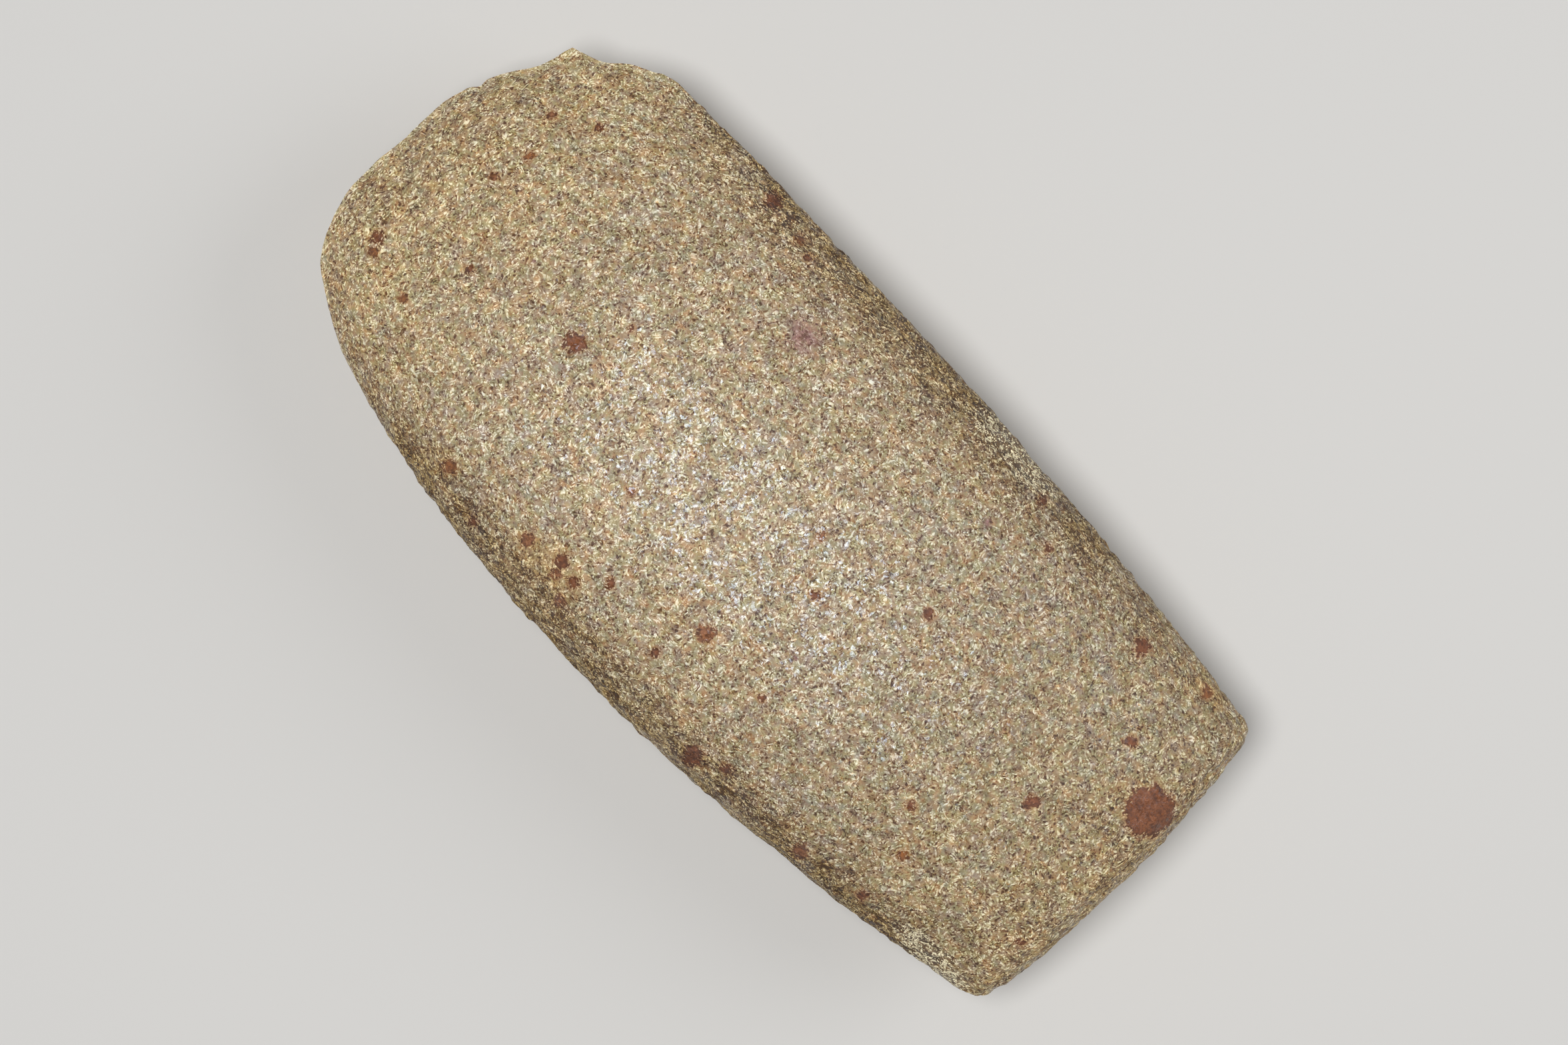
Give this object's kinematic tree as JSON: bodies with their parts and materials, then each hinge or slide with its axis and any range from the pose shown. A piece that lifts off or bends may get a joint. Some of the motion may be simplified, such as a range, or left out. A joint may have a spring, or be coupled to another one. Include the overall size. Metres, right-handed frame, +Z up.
{
  "type": "polished stone axe head",
  "caption": "Ground and polished stone axe head with a lens-like section, a bowed cutting edge, nearly parallel sides and a narrower blunt butt.",
  "frame": {"origin": "middle of the footprint, on the surface that the head lies on", "axes": "+X along the length towards the cutting edge, +Y across the width, +Z up through the two broad faces"},
  "size_m": [0.12, 0.0557, 0.035],
  "materials": {
    "stone": "ground and polished, speckled buff-brown"
  },
  "bodies": {
    "root": {"axe_head": "stone"}
  },
  "joints": []
}
